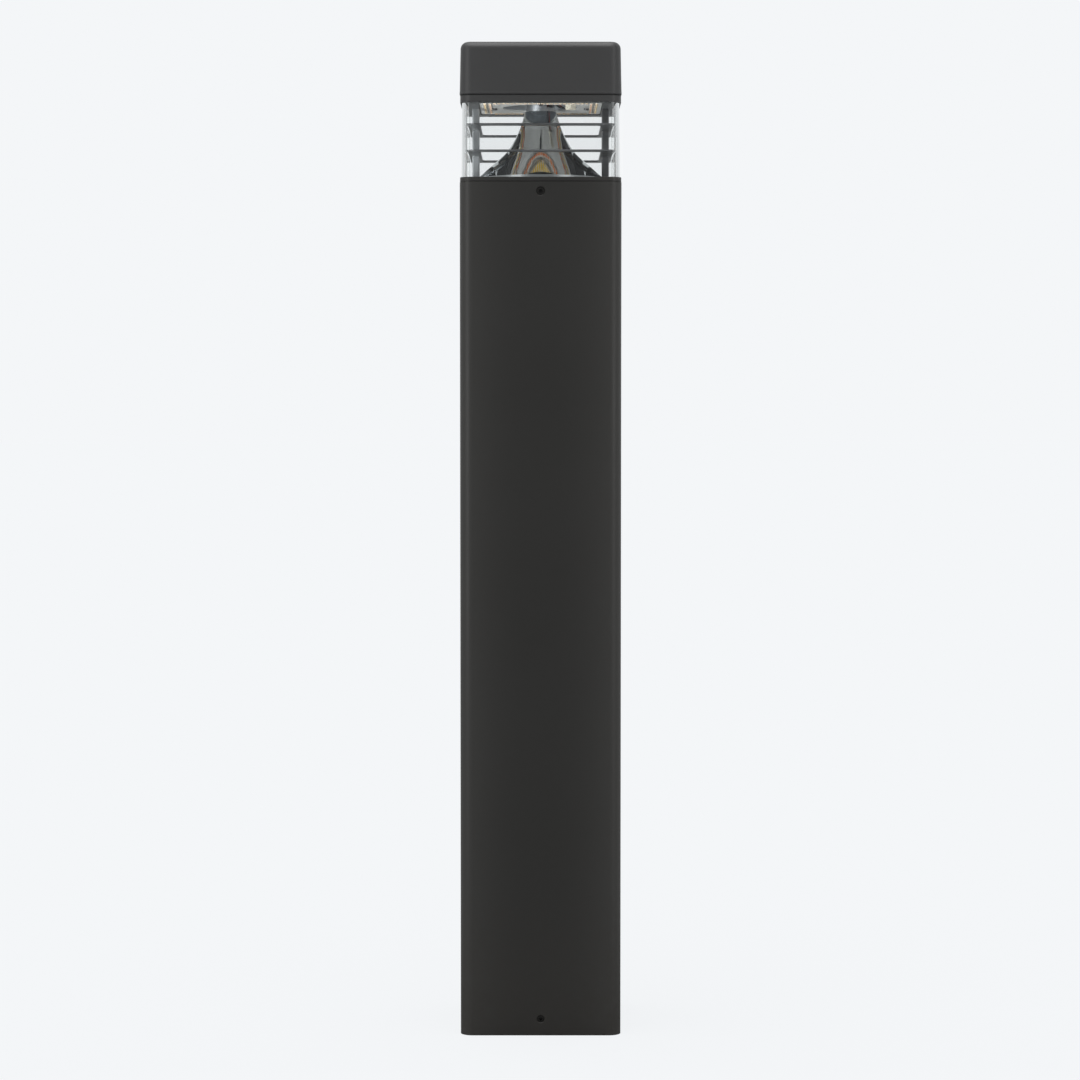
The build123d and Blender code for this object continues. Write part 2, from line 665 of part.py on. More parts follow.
NODES = {
    "anchor_base": anchor_base(),
    "shaft": shaft(),
    "base_screws": on_four_faces(set_screw(BASE_SCREW_R), BASE_SCREW_Z),
    "head_screws": on_four_faces(set_screw(HEAD_SCREW_R), HEAD_SCREW_Z),
    "collar": collar(),
    "lens_lower_gasket": frame_gasket(LENS_HALF_BOTTOM, LENS_BOTTOM - GASKET, LENS_BOTTOM),
    "lens": lens(),
    "lens_upper_gasket": frame_gasket(LENS_HALF_TOP, LENS_TOP, LENS_TOP + GASKET),
    "side_post_left": side_post(-1),
    "side_post_right": side_post(1),
    "post_bolts": post_bolts(),
    "reflector_cone": reflector_cone(),
    "stem_tube": stem_tube(),
    "stem_screws": stem_screws(),
    "led_board": led_board(),
    "thermal_pad": thermal_pad(),
    "board_resistors": row_on_four_sides(CHIP_SIZE, CHIP_ROW, LED_COUNT // 2, 2 * LED_PITCH),
    "board_screws": board_screws(),
    "board_connector": board_connector(),
    "led_lead_red": led_lead(1),
    "led_lead_black": led_lead(-1),
    "led_housing": led_housing(),
    "cap_gasket": frame_gasket(HOUSING_HALF - 1.0, BAND_TOP, CAP_BOTTOM),
    "top_cap": top_cap(),
    "cap_screws": cap_screws(),
    "driver_bracket": driver_bracket(),
    "bracket_screws": bracket_screws(),
    "wire_grommet": wire_grommet(),
    "driver": driver(),
    "driver_screws": driver_screws(),
    "terminal_block": terminal_block(),
    "terminal_screws": terminal_screws(),
    "supply_lead_line": supply_lead(-1),
    "supply_lead_neutral": supply_lead(1),
    "surge_protector": surge_protector(),
    "ground_screw": ground_screw(),
}
for name, level in RING_LEVELS.items():
    NODES[name] = louver_ring(level)
for name, distance in LED_ROWS.items():
    NODES[name] = row_on_four_sides(LED_SIZE, distance, LED_COUNT, LED_PITCH)

os.makedirs("parts", exist_ok=True)
for name, shape in NODES.items():
    solids = shape if isinstance(shape, list) else [shape]
    body = solids[0] if len(solids) == 1 else Compound(children=[Part(s.wrapped) for s in solids])
    export_step(body, "parts/" + name + ".step")
print(len(NODES), "nodes written")
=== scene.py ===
"""Square bollard light with a louvred head, unlit, on a pale studio floor."""
import math

import bpy
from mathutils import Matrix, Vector


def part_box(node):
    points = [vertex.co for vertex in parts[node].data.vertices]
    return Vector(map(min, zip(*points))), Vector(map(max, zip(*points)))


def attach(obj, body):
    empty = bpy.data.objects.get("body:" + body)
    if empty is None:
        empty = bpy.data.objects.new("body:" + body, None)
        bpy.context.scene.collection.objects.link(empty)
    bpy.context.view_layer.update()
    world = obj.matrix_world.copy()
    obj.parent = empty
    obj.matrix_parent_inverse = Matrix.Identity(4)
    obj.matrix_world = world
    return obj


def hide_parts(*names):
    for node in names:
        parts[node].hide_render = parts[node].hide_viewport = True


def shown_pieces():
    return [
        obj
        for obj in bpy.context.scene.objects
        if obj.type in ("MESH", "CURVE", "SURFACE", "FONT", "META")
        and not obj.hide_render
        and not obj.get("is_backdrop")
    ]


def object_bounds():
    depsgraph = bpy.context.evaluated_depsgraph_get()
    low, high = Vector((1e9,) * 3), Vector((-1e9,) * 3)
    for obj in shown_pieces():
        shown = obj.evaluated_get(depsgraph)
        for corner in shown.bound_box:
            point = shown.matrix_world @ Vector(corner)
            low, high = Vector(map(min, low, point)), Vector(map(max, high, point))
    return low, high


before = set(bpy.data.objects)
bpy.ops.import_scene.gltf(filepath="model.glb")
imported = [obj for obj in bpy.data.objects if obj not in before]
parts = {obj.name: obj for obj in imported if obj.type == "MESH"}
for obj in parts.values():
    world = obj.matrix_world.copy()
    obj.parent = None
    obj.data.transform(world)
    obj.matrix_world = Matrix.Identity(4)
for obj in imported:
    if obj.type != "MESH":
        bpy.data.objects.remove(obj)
cad_low, cad_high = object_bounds()
scene = bpy.context.scene

# ---- Camera ----
# A long lens a little above half the bollard's height, so that the lens of the lamp is seen slightly
# from below while the shaft's sides stay nearly parallel.
middle = (cad_low + cad_high) / 2
eye = Vector((-0.0007, cad_low.y - 3.1, 0.69))
aim = Vector((eye.x, 0, middle.z - 0.0018))
camera = bpy.data.objects.new("camera", bpy.data.cameras.new("camera"))
camera.data.sensor_width = 36.0
camera.data.lens = 96.57
camera.location = eye
camera.rotation_mode = "QUATERNION"
camera.rotation_quaternion = (aim - eye).to_track_quat("-Z", "Y")
scene.collection.objects.link(camera)
scene.camera = camera
scene.view_settings.view_transform = "Standard"


# ---- Studio floor and room ----
# A pale seamless floor that fades into a pale room. What is seen directly, or straight through the
# clear lens, is the pale room; what shines back in the paint and the mirror is greyer, and darkest in
# front, where a studio's unlit side is.
def node(tree, kind, inputs=None, **settings):
    """Adds a node; an input is given a value or joined to another node's output."""
    made = tree.nodes.new(kind)
    for name, value in settings.items():
        setattr(made, name, value)
    for name, value in (inputs or {}).items():
        if isinstance(value, bpy.types.NodeSocket):
            tree.links.new(value, made.inputs[name])
        else:
            made.inputs[name].default_value = value
    return made


def direct_view(tree):
    """1 where the ray has only gone straight on or through clear stuff since the camera."""
    path = node(tree, "ShaderNodeLightPath")
    bounced = node(tree, "ShaderNodeMath", {
        0: path.outputs["Glossy Depth"], 1: path.outputs["Diffuse Depth"]})
    return node(tree, "ShaderNodeMath", {0: bounced.outputs[0], 1: 0.5}, operation="LESS_THAN").outputs[0]


room_colour = (0.905, 0.921, 0.938, 1)
world = bpy.data.worlds.new("room")
scene.world = world
world.use_nodes = True
tree = world.node_tree
tree.nodes.clear()
towards = node(tree, "ShaderNodeTexCoord")
parted = node(tree, "ShaderNodeSeparateXYZ", {0: towards.outputs["Generated"]})
shade = node(tree, "ShaderNodeMapRange", {
    "Value": parted.outputs["Y"], "From Min": -0.7, "From Max": 0.9, "To Min": 0.24, "To Max": 0.85})
grey = node(tree, "ShaderNodeBackground", {"Color": (0.97, 0.99, 1.0, 1), "Strength": shade.outputs[0]})
pale = node(tree, "ShaderNodeBackground", {"Color": room_colour, "Strength": 1.0})
both = node(tree, "ShaderNodeMixShader", {0: direct_view(tree), 1: grey.outputs[0], 2: pale.outputs[0]})
node(tree, "ShaderNodeOutputWorld", {"Surface": both.outputs[0]})

floor_half = 40.0
floor_mesh = bpy.data.meshes.new("studio_floor")
floor_corners = [(x * floor_half, y * floor_half, 0) for x, y in ((-1, -1), (1, -1), (1, 1), (-1, 1))]
floor_mesh.from_pydata(floor_corners, [], [(0, 1, 2, 3)])
floor = bpy.data.objects.new("studio_floor", floor_mesh)
scene.collection.objects.link(floor)
floor_paint = bpy.data.materials.new("studio_floor")
floor_paint.use_nodes = True
tree = floor_paint.node_tree
tree.nodes.clear()
sheet = node(tree, "ShaderNodeBsdfDiffuse", {"Color": (0.80, 0.815, 0.83, 1)})
glow = node(tree, "ShaderNodeEmission", {"Color": room_colour, "Strength": 1.0})
seen = node(tree, "ShaderNodeMixShader", {0: 0.08, 1: glow.outputs[0], 2: sheet.outputs[0]})
ray = node(tree, "ShaderNodeLightPath")
in_gloss = node(tree, "ShaderNodeBsdfDiffuse", {"Color": (0.30, 0.30, 0.30, 1)})
for_light = node(tree, "ShaderNodeBsdfDiffuse", {"Color": (0.80, 0.80, 0.80, 1)})
bounced = node(tree, "ShaderNodeMixShader", {
    0: ray.outputs["Is Diffuse Ray"], 1: in_gloss.outputs[0], 2: for_light.outputs[0]})
both = node(tree, "ShaderNodeMixShader", {0: direct_view(tree), 1: bounced.outputs[0], 2: seen.outputs[0]})
node(tree, "ShaderNodeOutputMaterial", {"Surface": both.outputs[0]})
floor_mesh.materials.append(floor_paint)
floor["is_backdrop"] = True

sun = bpy.data.objects.new("overhead", bpy.data.lights.new("overhead", "SUN"))
sun.data.energy = 2.0
sun.data.angle = math.radians(70)
sun.data.specular_factor = 0.4
sun.rotation_euler = (math.radians(12), math.radians(-8), 0)
scene.collection.objects.link(sun)


# ---- Foot ----
# A sand-cast aluminium foot bolted to the footing. Rough skin from the mould, with the odd darker patch;
# it is hidden by the shaft until the shaft is lifted off.
def make_grain():
    """Group shared by every finish: fine height, broad patches and sparse specks in the piece's own space."""
    group = bpy.data.node_groups.new("surface_grain", "ShaderNodeTree")
    for name, value in (("Fine Scale", 900.0), ("Broad Scale", 12.0), ("Speck Scale", 300.0)):
        group.interface.new_socket(name, in_out="INPUT", socket_type="NodeSocketFloat").default_value = value
    for name in ("Height", "Patch", "Specks"):
        group.interface.new_socket(name, in_out="OUTPUT", socket_type="NodeSocketFloat")
    given = node(group, "NodeGroupInput")
    place = node(group, "ShaderNodeTexCoord").outputs["Object"]
    fine = node(group, "ShaderNodeTexNoise", {
        "Vector": place, "Scale": given.outputs["Fine Scale"], "Detail": 2.0})
    broad = node(group, "ShaderNodeTexNoise", {
        "Vector": place, "Scale": given.outputs["Broad Scale"], "Detail": 4.0})
    speck = node(group, "ShaderNodeTexVoronoi", {"Vector": place, "Scale": given.outputs["Speck Scale"]})
    spot = node(group, "ShaderNodeMapRange", {
        "Value": speck.outputs["Distance"], "From Min": 0.05, "From Max": 0.16, "To Min": 1.0, "To Max": 0.0})
    patch = node(group, "ShaderNodeMapRange", {
        "Value": broad.outputs["Fac"], "From Min": 0.35, "From Max": 0.65})
    node(group, "NodeGroupOutput", {
        "Height": fine.outputs["Fac"], "Patch": patch.outputs[0], "Specks": spot.outputs[0]})
    return group


grain = make_grain()


def start_material(name):
    """A new material with an empty tree."""
    made = bpy.data.materials.new(name)
    made.use_nodes = True
    made.node_tree.nodes.clear()
    return made, made.node_tree


def mix_colour(tree, factor, first, second):
    """Colour between two others."""
    made = node(tree, "ShaderNodeMix", {"Factor": factor}, data_type="RGBA")
    for name, value in (("A", first), ("B", second)):
        socket = next(s for s in made.inputs if s.name == name and s.type == "RGBA")
        if isinstance(value, bpy.types.NodeSocket):
            tree.links.new(value, socket)
        else:
            socket.default_value = (*value, 1)
    return next(s for s in made.outputs if s.type == "RGBA")


def grain_of(tree, scales):
    """The grain group with its three scales set."""
    skin = node(tree, "ShaderNodeGroup", node_tree=grain)
    for socket, value in zip(("Fine Scale", "Broad Scale", "Speck Scale"), scales):
        skin.inputs[socket].default_value = value
    return skin


def relief_of(tree, height, distance, strength):
    """A bump of a given depth in metres."""
    bump = node(tree, "ShaderNodeBump", {"Height": height, "Distance": distance, "Strength": strength})
    return bump.outputs[0]


def close_material(tree, **sockets):
    """The principled shader that ends an opaque finish."""
    shader = node(tree, "ShaderNodeBsdfPrincipled", {
        name.replace("_", " "): value for name, value in sockets.items()})
    node(tree, "ShaderNodeOutputMaterial", {"Surface": shader.outputs[0]})


def finish_with_grain(name, low, high, rough, bump, scales=(900.0, 12.0, 300.0), metallic=0.0, specks=None):
    """A finish whose colour and roughness wander between two values, with fine relief."""
    made, tree = start_material(name)
    skin = grain_of(tree, scales)
    tint = mix_colour(tree, skin.outputs["Patch"], low, high)
    if specks:
        tint = mix_colour(tree, skin.outputs["Specks"], tint, specks)
    gloss = node(tree, "ShaderNodeMapRange", {
        "Value": skin.outputs["Patch"], "To Min": rough[0], "To Max": rough[1]})
    relief = relief_of(tree, skin.outputs["Height"], bump, 0.6)
    close_material(tree, Base_Color=tint, Roughness=gloss.outputs[0], Normal=relief, Metallic=metallic)
    return made


def dress(material, *names):
    """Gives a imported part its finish."""
    for name in names:
        mesh = parts[name].data
        mesh.materials.clear()
        mesh.materials.append(material)


cast_skin = finish_with_grain(
    "cast_aluminium", (0.32, 0.32, 0.33), (0.42, 0.42, 0.42), (0.45, 0.62), 0.0004,
    scales=(500.0, 25.0, 220.0), metallic=1.0, specks=(0.22, 0.22, 0.22))
dress(cast_skin, "anchor_base")


# ---- Shaft ----
# A square aluminium extrusion cut to length and powder coated dark bronze. Towards the four corners
# the coat is painted paler, a painted sheen standing in for the light the rounded corners catch, and
# the foot has caught a little dry earth.
def make_coat_places():
    """Group for the coats: nearness to a corner (painted sheen) and to the ground, in the piece's own space.
    """
    group = bpy.data.node_groups.new("coat_places", "ShaderNodeTree")
    for name, value in (("Half Width", 0.0865), ("Splash Height", 0.16)):
        group.interface.new_socket(name, in_out="INPUT", socket_type="NodeSocketFloat").default_value = value
    for name in ("Corner Sheen", "Splash"):
        group.interface.new_socket(name, in_out="OUTPUT", socket_type="NodeSocketFloat")
    given = node(group, "NodeGroupInput")
    place = node(group, "ShaderNodeTexCoord").outputs["Object"]
    away = node(group, "ShaderNodeVectorMath", {0: place}, operation="ABSOLUTE")
    sides = node(group, "ShaderNodeSeparateXYZ", {0: away.outputs[0]})
    nearer = node(group, "ShaderNodeMath", {
        0: sides.outputs["X"], 1: sides.outputs["Y"]}, operation="MINIMUM")
    share = node(group, "ShaderNodeMath", {
        0: nearer.outputs[0], 1: given.outputs["Half Width"]}, operation="DIVIDE")
    # The corner mask sets where the coats carry painted sheen.
    corner = node(group, "ShaderNodeMath", {0: share.outputs[0], 1: 2.6}, operation="POWER", use_clamp=True)
    smear = node(group, "ShaderNodeTexNoise", {"Vector": place, "Scale": 55.0, "Detail": 5.0})
    low = node(group, "ShaderNodeMapRange", {
        "Value": sides.outputs["Z"], "From Min": 0.0, "From Max": given.outputs["Splash Height"],
        "To Min": 0.8, "To Max": 0.0})
    splash = node(group, "ShaderNodeMath", {0: low.outputs[0], 1: smear.outputs["Fac"]}, operation="MULTIPLY")
    node(group, "NodeGroupOutput", {"Corner Sheen": corner.outputs[0], "Splash": splash.outputs[0]})
    return group


coat_places = make_coat_places()


def powder_coat(name, face, corner, splash=(0.016, 0.013, 0.009)):
    """Satin powder coat: orange peel, painted sheen at the corners, a few pale dust specks, earth near the
    ground.
    """
    made, tree = start_material(name)
    skin = grain_of(tree, (520.0, 6.0, 420.0))
    where = node(tree, "ShaderNodeGroup", node_tree=coat_places)
    # Paler towards the corners: painted sheen, standing in for light caught by the rounded corners.
    tint = mix_colour(tree, where.outputs["Corner Sheen"], face, corner)
    dusty = node(tree, "ShaderNodeMath", {0: skin.outputs["Specks"], 1: 0.25}, operation="MULTIPLY")
    tint = mix_colour(tree, dusty.outputs[0], tint, [1.5 * value for value in corner])
    tint = mix_colour(tree, where.outputs["Splash"], tint, splash)
    gloss = node(tree, "ShaderNodeMapRange", {"Value": skin.outputs["Patch"], "To Min": 0.40, "To Max": 0.48})
    dull = node(tree, "ShaderNodeMath", {
        0: where.outputs["Splash"], 1: 0.35, 2: gloss.outputs[0]}, operation="MULTIPLY_ADD")
    peel = relief_of(tree, skin.outputs["Height"], 0.00005, 0.5)
    close_material(tree, Base_Color=tint, Roughness=dull.outputs[0], Normal=peel)
    return made


# The second colour is the painted sheen at the corners.
bronze_coat = powder_coat("bronze_powder_coat", (0.0125, 0.0120, 0.0106), (0.030, 0.0290, 0.0268))
dress(bronze_coat, "shaft")

# ---- Set screws ----
# Black socket set screws, four near the foot and four near the top of the shaft, turned in until
# their faces are just inside the wall.
black_oxide = finish_with_grain(
    "black_oxide", (0.018, 0.018, 0.018), (0.03, 0.029, 0.027), (0.32, 0.45), 0.00003,
    scales=(1500.0, 90.0, 500.0), metallic=0.7)
dress(black_oxide, "base_screws", "head_screws")

# ---- Collar ----
# A die casting in the same coat as the shaft, its rim set back a hair behind the shaft's faces.
dress(bronze_coat, "collar")

# ---- Gaskets and grommet ----
# Black sponge rubber rings squeezed between lens, collar, housing and cap, and a bush in the collar's
# bore. Cut from sheet, so the pores show.
sponge_rubber = finish_with_grain(
    "sponge_rubber", (0.010, 0.010, 0.010), (0.018, 0.018, 0.018), (0.75, 0.9), 0.00015,
    scales=(1400.0, 60.0, 900.0))
dress(sponge_rubber, "lens_lower_gasket", "lens_upper_gasket", "cap_gasket", "wire_grommet")


# ---- Lens ----
# A clear acrylic tube, moulded in one, 3 mm thick with round corners. Only what is seen directly is
# bent and mirrored by it: shadow, diffuse and reflected rays go straight through, faintly tinted, so
# that the lamp inside is lit. A faint haze of handling varies its gloss.
def clear_acrylic():
    made, tree = start_material("clear_acrylic")
    skin = grain_of(tree, (60.0, 14.0, 200.0))
    haze = node(tree, "ShaderNodeMapRange", {"Value": skin.outputs["Patch"], "To Min": 0.004, "To Max": 0.03})
    acrylic = node(tree, "ShaderNodeBsdfPrincipled", {
        "Base Color": (0.985, 0.992, 0.992, 1), "Roughness": haze.outputs[0], "IOR": 1.49,
        "Transmission Weight": 1.0})
    clear = node(tree, "ShaderNodeBsdfTransparent", {"Color": (0.96, 0.97, 0.97, 1)})
    path = node(tree, "ShaderNodeLightPath")
    soft = node(tree, "ShaderNodeMath", {
        0: path.outputs["Is Shadow Ray"], 1: path.outputs["Is Diffuse Ray"]}, operation="MAXIMUM")
    mirrored = node(tree, "ShaderNodeMath", {0: 1.0, 1: direct_view(tree)}, operation="SUBTRACT")
    soft = node(tree, "ShaderNodeMath", {0: soft.outputs[0], 1: mirrored.outputs[0]}, operation="MAXIMUM")
    both = node(tree, "ShaderNodeMixShader", {0: soft.outputs[0], 1: acrylic.outputs[0], 2: clear.outputs[0]})
    edge_tint = node(tree, "ShaderNodeVolumeAbsorption", {"Color": (0.80, 0.86, 0.84, 1), "Density": 18.0})
    node(tree, "ShaderNodeOutputMaterial", {"Surface": both.outputs[0], "Volume": edge_tint.outputs[0]})
    return made


dress(clear_acrylic(), "lens")

# ---- Louvre rings, posts and their bolts ----
# Two flat aluminium rings threaded on two flat bars that tie the collar to the housing. The rings and the
# right bar are dark anodised; the left bar is given a paler grey metal, painted light standing in for light
# falling on it from the left. The bolts in their ends are zinc plated.
dark_anodised = finish_with_grain(
    "dark_anodised", (0.125, 0.127, 0.132), (0.155, 0.157, 0.162), (0.30, 0.40), 0.00004,
    scales=(1300.0, 30.0, 500.0), metallic=1.0)
dress(dark_anodised, "louver_ring_lower", "louver_ring_upper", "side_post_right")
# The left bar's paler grey is painted light, standing in for light from the left.
left_post_painted_light = finish_with_grain(
    "post_metal_painted_paler", (0.36, 0.375, 0.39), (0.43, 0.445, 0.46), (0.28, 0.38), 0.00004,
    scales=(1300.0, 30.0, 500.0), metallic=1.0)
dress(left_post_painted_light, "side_post_left")
zinc_plate = finish_with_grain(
    "zinc_plate", (0.42, 0.43, 0.44), (0.55, 0.55, 0.54), (0.25, 0.38), 0.00003,
    scales=(1500.0, 120.0, 700.0), metallic=1.0)
dress(zinc_plate, "post_bolts")

# ---- Reflector cone ----
# A trumpet spun from sheet aluminium and polished to a mirror, clamped between the collar and the stem
# and flattened where it passes the posts. How the real flank is formed isn't known. The narrow bands
# here are a stand-in: each is leaned so that the LED board shows in it from in front and a little below,
# and from elsewhere the reflection is only roughly right. The mirror is duller than polished metal, most
# of all low down, by judgement.
MM = 0.001
rim_low, neck_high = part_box("reflector_cone")
rim_r = neck_high.y
neck_r = 17.0 * MM
neck_bend, waist_bend = 130.0 * MM, 55.0 * MM
lean_top, lean_waist, lean_flank = (math.radians(angle) for angle in (13.5, 30.0, 48.5))
neck_centre = (neck_r + neck_bend * math.cos(lean_top), neck_high.z + neck_bend * math.sin(lean_top))
waist_start = (
    neck_centre[0] - neck_bend * math.cos(lean_waist), neck_centre[1] - neck_bend * math.sin(lean_waist))
waist_centre = (
    waist_start[0] + waist_bend * math.cos(lean_waist), waist_start[1] + waist_bend * math.sin(lean_waist))
flank_start = (
    waist_centre[0] - waist_bend * math.cos(lean_flank), waist_centre[1] - waist_bend * math.sin(lean_flank))
rim_top = flank_start[1] - (rim_r - flank_start[0]) / math.tan(lean_flank)
bands_low, bands_high = rim_top, rim_top + 35.0 * MM
board_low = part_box("led_board")[0].z
look_up = math.radians(4.7)
post_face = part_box("side_post_right")[0].x - 0.4 * MM
post_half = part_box("side_post_right")[1].y + 0.8 * MM


def skin_radius(z):
    """Radius of the cone's outer skin at a height."""
    if z >= waist_start[1]:
        return neck_centre[0] - math.sqrt(neck_bend ** 2 - (neck_centre[1] - z) ** 2)
    if z >= flank_start[1]:
        return waist_centre[0] - math.sqrt(waist_bend ** 2 - (waist_centre[1] - z) ** 2)
    return flank_start[0] + (flank_start[1] - z) * math.tan(lean_flank)


def lit_distance(z):
    """How far out on the board a band at this height is leaned to show; fitted by trial at four heights."""
    levels = (bands_low, rim_top + 17.0 * MM, rim_top + 27.0 * MM, bands_high)
    distances = (61.3 * MM, 59.0 * MM, 53.4 * MM, 49.5 * MM)
    for index in range(3):
        if z <= levels[index + 1]:
            break
    part = (z - levels[index]) / (levels[index + 1] - levels[index])
    return distances[index] + part * (distances[index + 1] - distances[index])


def reflector_profile():
    """Radius and height down the outside and back up the inside, and which points are creases."""
    smooth_steps, band_count, inner_steps, sheet = 18, 32, 20, 1.5 * MM
    points = []
    for step in range(smooth_steps):
        z = neck_high.z + (bands_high - neck_high.z) * step / smooth_steps
        points.append((skin_radius(z), z))
    creases = {0}
    band = (bands_high - bands_low) / band_count
    for index in range(band_count):
        z = bands_high - index * band
        halfway = z - band / 2
        lean = (math.atan2(board_low - halfway, lit_distance(halfway) - skin_radius(halfway)) - look_up) / 2
        lower = min(skin_radius(z) + band * math.tan(lean), skin_radius(z - band))
        creases.update((len(points), len(points) + 1))
        points.append((skin_radius(z), z))
        points.append((lower, z - band))
    creases.update(range(len(points), len(points) + 4))
    rim_inner = rim_r - sheet
    points += [(rim_r, rim_top), (rim_r, rim_low.z), (rim_inner, rim_low.z), (rim_inner, rim_top - sheet)]
    for step in range(1, inner_steps + 1):
        z = rim_top + (neck_high.z - sheet - rim_top) * step / inner_steps
        points.append((skin_radius(z) - sheet, z))
    creases.update(range(len(points) - 1, len(points) + 2))
    points += [(neck_r - 5.0 * MM, neck_high.z - sheet), (neck_r - 5.0 * MM, neck_high.z)]
    return points, creases


def spin_reflector(segments=168):
    """The profile turned round the axis, with flats for the posts."""
    profile, creases = reflector_profile()
    places = []
    for r, z in profile:
        for segment in range(segments):
            turn = 2 * math.pi * segment / segments
            x, y = r * math.cos(turn), r * math.sin(turn)
            if abs(y) < post_half:
                x = max(-post_face, min(post_face, x))
            places.append((x, y, z))
    rings = len(profile)
    faces = []
    for ring in range(rings):
        here, below = ring * segments, (ring + 1) % rings * segments
        for segment in range(segments):
            after = (segment + 1) % segments
            faces.append((here + segment, below + segment, below + after, here + after))
    mesh = bpy.data.meshes.new("reflector_mirror")
    mesh.from_pydata(places, [], faces)
    mesh.polygons.foreach_set("use_smooth", [True] * len(faces))
    for edge in mesh.edges:
        first, second = (corner // segments for corner in edge.vertices)
        edge.use_edge_sharp = first == second and first in creases
    return mesh


reflector = bpy.data.objects.new("reflector_mirror", spin_reflector())
scene.collection.objects.link(reflector)
mirror, tree = start_material("spun_mirror")
place = node(tree, "ShaderNodeTexCoord").outputs["Object"]
turned = node(tree, "ShaderNodeTexWave", {
    "Vector": place, "Scale": 260.0, "Distortion": 1.5, "Detail": 2.0, "Detail Scale": 0.4},
    wave_type="BANDS", bands_direction="Z")
relief = relief_of(tree, turned.outputs["Fac"], 0.000004, 0.3)
haze = node(tree, "ShaderNodeMapRange", {"Value": turned.outputs["Fac"], "To Min": 0.02, "To Max": 0.045})
height = node(tree, "ShaderNodeSeparateXYZ", {0: place}).outputs["Z"]
rolled = node(tree, "ShaderNodeMath", {0: height, 1: rim_top}, operation="LESS_THAN")
rough = node(tree, "ShaderNodeMath", {
    0: rolled.outputs[0], 1: 0.30, 2: haze.outputs[0]}, operation="MULTIPLY_ADD")
dull_below, bright_above = 0.978, 0.990
bright = node(tree, "ShaderNodeMapRange", {
    "Value": height, "From Min": dull_below, "From Max": bright_above})
sheen = mix_colour(tree, bright.outputs[0], (0.43, 0.445, 0.45), (0.60, 0.63, 0.65))
close_material(tree, Base_Color=sheen, Metallic=1.0, Roughness=rough.outputs[0], Normal=relief)
reflector.data.materials.append(mirror)
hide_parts("reflector_cone")
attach(reflector, "head")

# ---- Stem ----
# A short turned aluminium spacer between the cone's neck and the housing, held by three small screws
# through its flange.
turned_aluminium = finish_with_grain(
    "turned_aluminium", (0.50, 0.52, 0.545), (0.57, 0.59, 0.615), (0.30, 0.40), 0.00004,
    scales=(1300.0, 30.0, 500.0), metallic=1.0)
dress(turned_aluminium, "stem_tube")
dress(zinc_plate, "stem_screws")

# ---- Housing ----
# A die casting with fins on its back, in the same coat as the cap and painted paler towards its corners as
# painted sheen; its edge is the band under the cap. The round pocket where the stem is bolted is left bare
# satin metal. The underside within the lens is painted paler than the coat by judgement: painted light,
# standing in for the light that reaches it there. What covers it isn't known.
pocket_radius, pocket_roof, lens_inside, facing_down = 0.0418, 1.0125, 0.0838, -0.7
housing_coat, tree = start_material("graphite_coat_bare_pocket_and_painted_light")
skin = grain_of(tree, (520.0, 6.0, 420.0))
where = node(tree, "ShaderNodeGroup", node_tree=coat_places)
place = node(tree, "ShaderNodeSeparateXYZ", {0: node(tree, "ShaderNodeTexCoord").outputs["Object"]})
flat = node(tree, "ShaderNodeCombineXYZ", {"X": place.outputs["X"], "Y": place.outputs["Y"]})
reach = node(tree, "ShaderNodeVectorMath", {0: flat.outputs[0]}, operation="LENGTH")
inside = node(tree, "ShaderNodeMath", {0: reach.outputs["Value"], 1: pocket_radius}, operation="LESS_THAN")
under = node(tree, "ShaderNodeMath", {0: place.outputs["Z"], 1: pocket_roof}, operation="LESS_THAN")
bare = node(tree, "ShaderNodeMath", {0: inside.outputs[0], 1: under.outputs[0]}, operation="MULTIPLY")
away = node(tree, "ShaderNodeVectorMath", {0: flat.outputs[0]}, operation="ABSOLUTE")
sides = node(tree, "ShaderNodeSeparateXYZ", {0: away.outputs[0]})
across = node(tree, "ShaderNodeMath", {0: sides.outputs["X"], 1: sides.outputs["Y"]}, operation="MAXIMUM")
enclosed = node(tree, "ShaderNodeMath", {0: across.outputs[0], 1: lens_inside}, operation="LESS_THAN")
facing = node(tree, "ShaderNodeSeparateXYZ", {0: node(tree, "ShaderNodeNewGeometry").outputs["Normal"]})
downward = node(tree, "ShaderNodeMath", {0: facing.outputs["Z"], 1: facing_down}, operation="LESS_THAN")
# Painted light: faces looking down inside the lens are made paler.
painted_underside_light = node(tree, "ShaderNodeMath", {0: enclosed.outputs[0], 1: downward.outputs[0]}, operation="MULTIPLY")
# Paler towards the corners: painted sheen.
coat = mix_colour(tree, where.outputs["Corner Sheen"], (0.033, 0.033, 0.033), (0.037, 0.037, 0.037))
coat = mix_colour(tree, painted_underside_light.outputs[0], coat, (0.12, 0.122, 0.125))
tint = mix_colour(tree, bare.outputs[0], coat, (0.72, 0.74, 0.76))
gloss = node(tree, "ShaderNodeMapRange", {"Value": skin.outputs["Patch"], "To Min": 0.38, "To Max": 0.46})
peel = relief_of(tree, skin.outputs["Height"], 0.00005, 0.5)
close_material(tree, Base_Color=tint, Metallic=bare.outputs[0], Roughness=gloss.outputs[0], Normal=peel)
dress(housing_coat, "led_housing")

